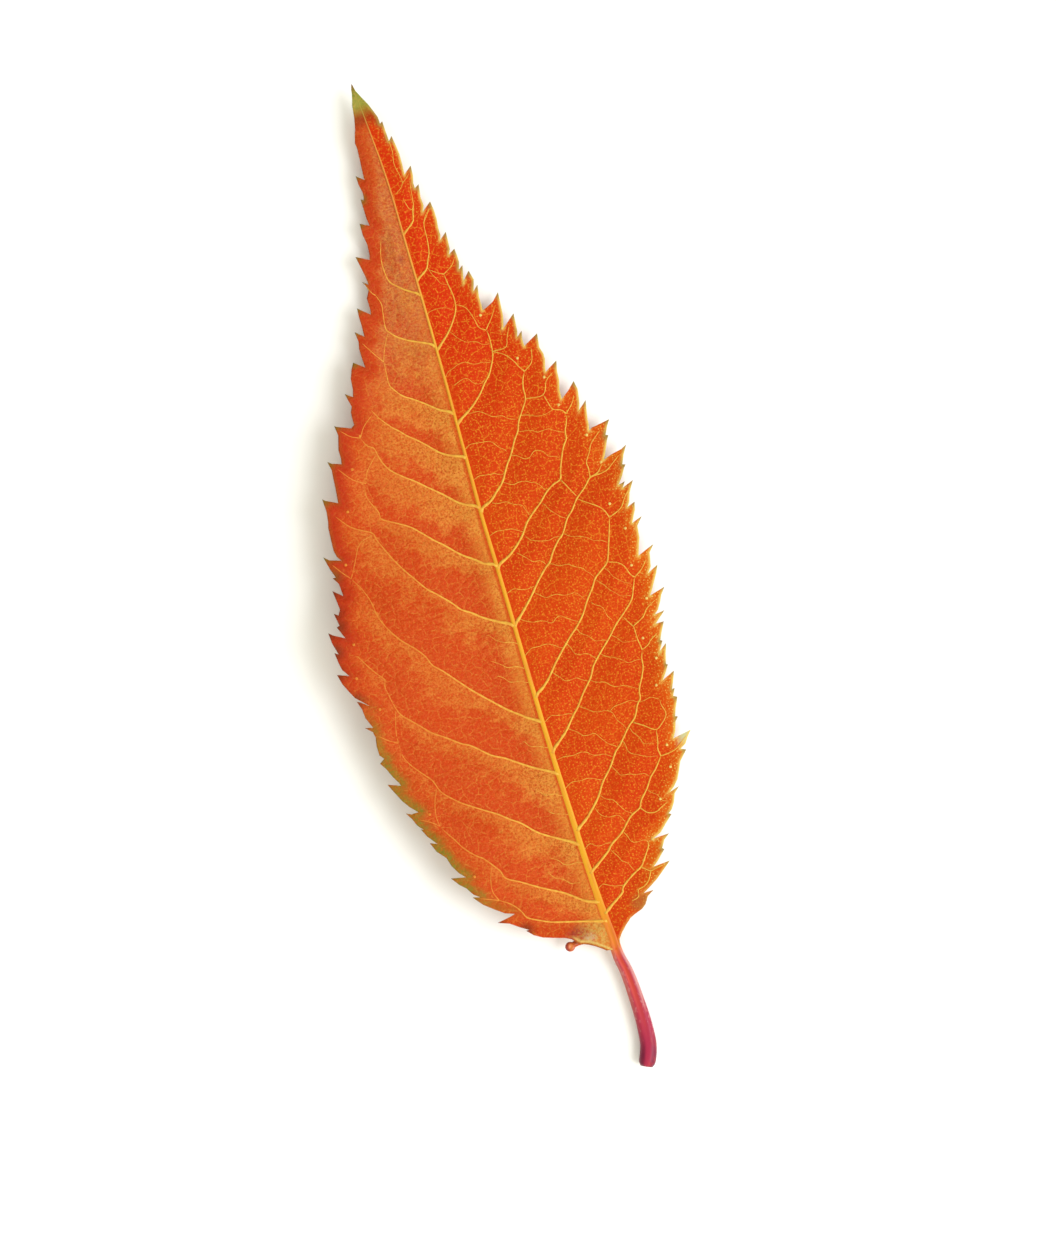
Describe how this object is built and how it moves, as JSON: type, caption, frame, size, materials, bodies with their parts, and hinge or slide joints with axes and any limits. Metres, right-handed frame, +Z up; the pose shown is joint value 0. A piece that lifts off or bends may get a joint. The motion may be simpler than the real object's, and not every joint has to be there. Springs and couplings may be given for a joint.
{
  "type": "autumn leaf",
  "caption": "Fallen serrate leaf in autumn red and orange: folded blade with raised veins, grooved stalk and a nectar gland, lying on its underside",
  "frame": {"origin": "middle of the leaf's bounding box in plan, at the height of the surface it rests on", "axes": "+X to the leaf's right seen from above with the tip up, +Y from stalk to tip, +Z up out of the blade's upper side"},
  "size_m": [0.0342, 0.1026, 0.0048],
  "materials": {
    "leaf": "waxy"
  },
  "bodies": {
    "root": {"leaf": "leaf"}
  },
  "joints": []
}
